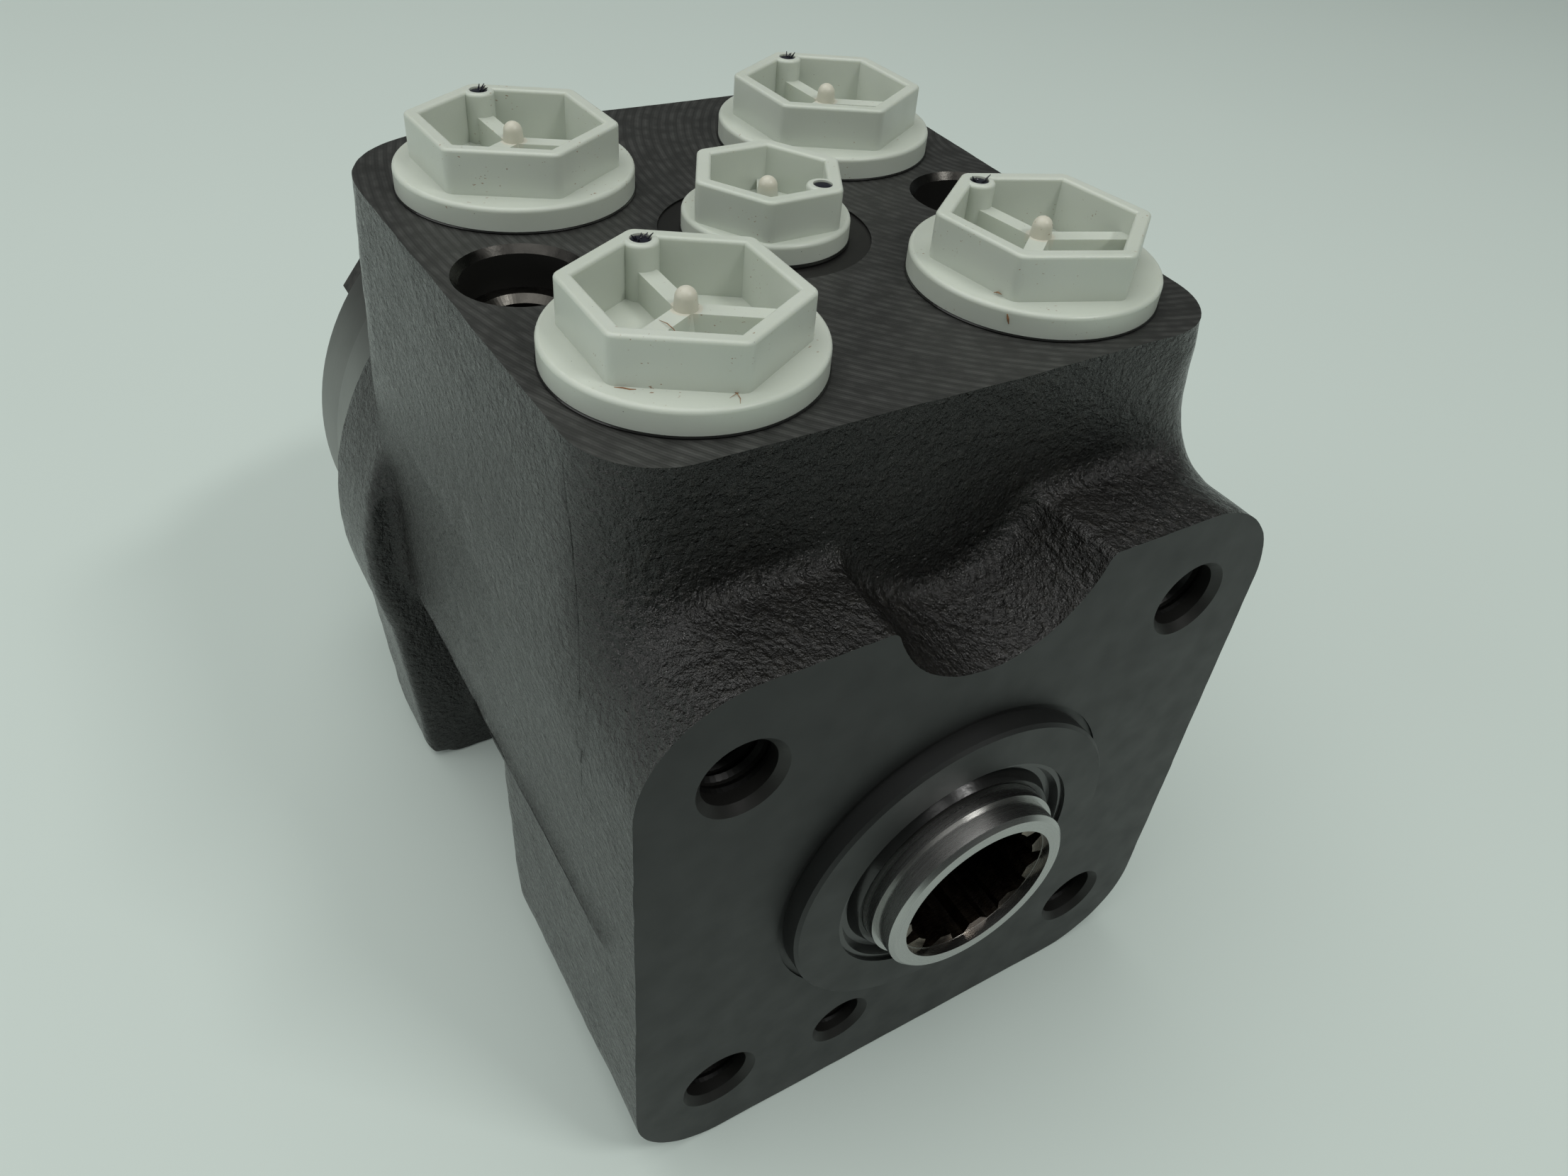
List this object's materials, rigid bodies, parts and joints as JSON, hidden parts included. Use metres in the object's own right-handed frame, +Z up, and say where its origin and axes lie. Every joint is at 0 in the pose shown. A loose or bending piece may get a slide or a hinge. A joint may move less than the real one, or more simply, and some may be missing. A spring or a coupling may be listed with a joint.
{
  "type": "hydrostatic steering unit",
  "caption": "Cast iron orbital steering valve with flanged front, splined spool nose, gear set behind a bolted cover, and threaded ports closed by hexagon shipping plugs.",
  "frame": {"origin": "centre of the machined front face, on the shaft axis", "axes": "+Y along the shaft from the front face into the unit, +Z up to the port face, +X to the right seen from the front"},
  "size_m": [0.0922, 0.1307, 0.1074],
  "materials": {
    "housing_iron": "dark grey-brown sand cast skin with milled faces",
    "ground_steel": "ground",
    "gear_steel": "machined, oiled",
    "cover_steel": "turned, thin oil film",
    "phosphated_steel": "phosphated, matt",
    "spring_steel": "tempered",
    "washer_metal": "plain",
    "seal_rubber": "moulded, slightly glossy",
    "plug_plastic": "moulded pale grey-green, satin"
  },
  "bodies": {
    "housing": {"housing": "housing_iron", "dust_seal": "seal_rubber", "shaft_seal": "seal_rubber", "bearing_outer_race": "ground_steel", "distributor_plate": "gear_steel", "gear_rim": "gear_steel", "end_cover": "cover_steel", "housing_o_ring": "seal_rubber", "rim_o_ring": "seal_rubber", "cover_o_ring": "seal_rubber", "cover_screws": "phosphated_steel", "pin_screw": "phosphated_steel", "cover_washers": "washer_metal", "check_seat": "phosphated_steel", "relief_screw": "phosphated_steel"},
    "sleeve": {"sleeve": "ground_steel", "cross_pin": "ground_steel", "centring_springs": "spring_steel", "spring_ring": "spring_steel", "bearing_inner_race": "ground_steel"},
    "needle_cage": {"bearing_cage": "ground_steel", "bearing_needles": "ground_steel"},
    "spool": {"spool": "ground_steel"},
    "orbit": {"cardan_spacer": "gear_steel"},
    "star": {"gear_star": "gear_steel"},
    "cardan": {"cardan_shaft": "gear_steel"},
    "plug_t": {"port_plug_t": "plug_plastic", "plug_o_ring_t": "seal_rubber"},
    "plug_p": {"port_plug_p": "plug_plastic", "plug_o_ring_p": "seal_rubber"},
    "plug_l": {"port_plug_l": "plug_plastic", "plug_o_ring_l": "seal_rubber"},
    "plug_r": {"port_plug_r": "plug_plastic", "plug_o_ring_r": "seal_rubber"},
    "plug_ls": {"ls_plug": "plug_plastic", "ls_plug_o_ring": "seal_rubber"},
    "check_ball": {"check_ball": "ground_steel"},
    "relief": {"relief_ball": "ground_steel", "relief_guide": "phosphated_steel", "relief_spring": "spring_steel"},
    "manual_check_ball": {"manual_check_ball": "ground_steel"}
  },
  "joints": [
    {"name": "sleeve_spin", "type": "hinge", "parent": "housing", "child": "sleeve", "pos_m": [0, 0, 0], "axis": [0, 1, 0], "continuous": true},
    {"name": "needle_cage_spin", "type": "hinge", "parent": "housing", "child": "needle_cage", "pos_m": [0, 0, 0], "axis": [0, 1, 0], "continuous": true},
    {"name": "spool_deflection", "type": "hinge", "parent": "sleeve", "child": "spool", "pos_m": [0, 0, 0], "axis": [0, 1, 0], "range_deg": [-8, 8], "stiffness_Nm_per_rad": 1.5},
    {"name": "spacer_orbit", "type": "hinge", "parent": "housing", "child": "orbit", "pos_m": [0, 0, 0], "axis": [0, 1, 0], "continuous": true},
    {"name": "star_spin", "type": "hinge", "parent": "orbit", "child": "star", "pos_m": [0, 0.1022, -0.0026], "axis": [0, 1, 0], "continuous": true},
    {"name": "cardan_spin", "type": "hinge", "parent": "orbit", "child": "cardan", "pos_m": [0, 0.052, 0], "axis": [0, 0.9987, -0.0517], "continuous": true},
    {"name": "plug_t_pull", "type": "slide", "parent": "housing", "child": "plug_t", "axis": [0, 0, 1], "range_m": [0, 0.02]},
    {"name": "plug_p_pull", "type": "slide", "parent": "housing", "child": "plug_p", "axis": [0, 0, 1], "range_m": [0, 0.02]},
    {"name": "plug_l_pull", "type": "slide", "parent": "housing", "child": "plug_l", "axis": [0, 0, 1], "range_m": [0, 0.02]},
    {"name": "plug_r_pull", "type": "slide", "parent": "housing", "child": "plug_r", "axis": [0, 0, 1], "range_m": [0, 0.02]},
    {"name": "plug_ls_pull", "type": "slide", "parent": "housing", "child": "plug_ls", "axis": [0, 0, 1], "range_m": [0, 0.02]},
    {"name": "check_ball_lift", "type": "slide", "parent": "housing", "child": "check_ball", "axis": [0, 0, 1], "range_m": [0, 0.0015]},
    {"name": "relief_lift", "type": "slide", "parent": "housing", "child": "relief", "axis": [0, 0, 1], "range_m": [0, 0.0006], "stiffness_N_per_m": 400, "springref_m": -0.002, "deforming": ["relief_spring"]},
    {"name": "manual_ball_shift", "type": "slide", "parent": "housing", "child": "manual_check_ball", "axis": [0, 1, 0], "range_m": [0, 0.0015]}
  ],
  "couplings": [
    {"joint": "needle_cage_spin", "follows": "sleeve_spin", "ratio": 0.5},
    {"joint": "spacer_orbit", "follows": "sleeve_spin", "ratio": -6},
    {"joint": "star_spin", "follows": "sleeve_spin", "ratio": 7},
    {"joint": "cardan_spin", "follows": "sleeve_spin", "ratio": 7}
  ]
}
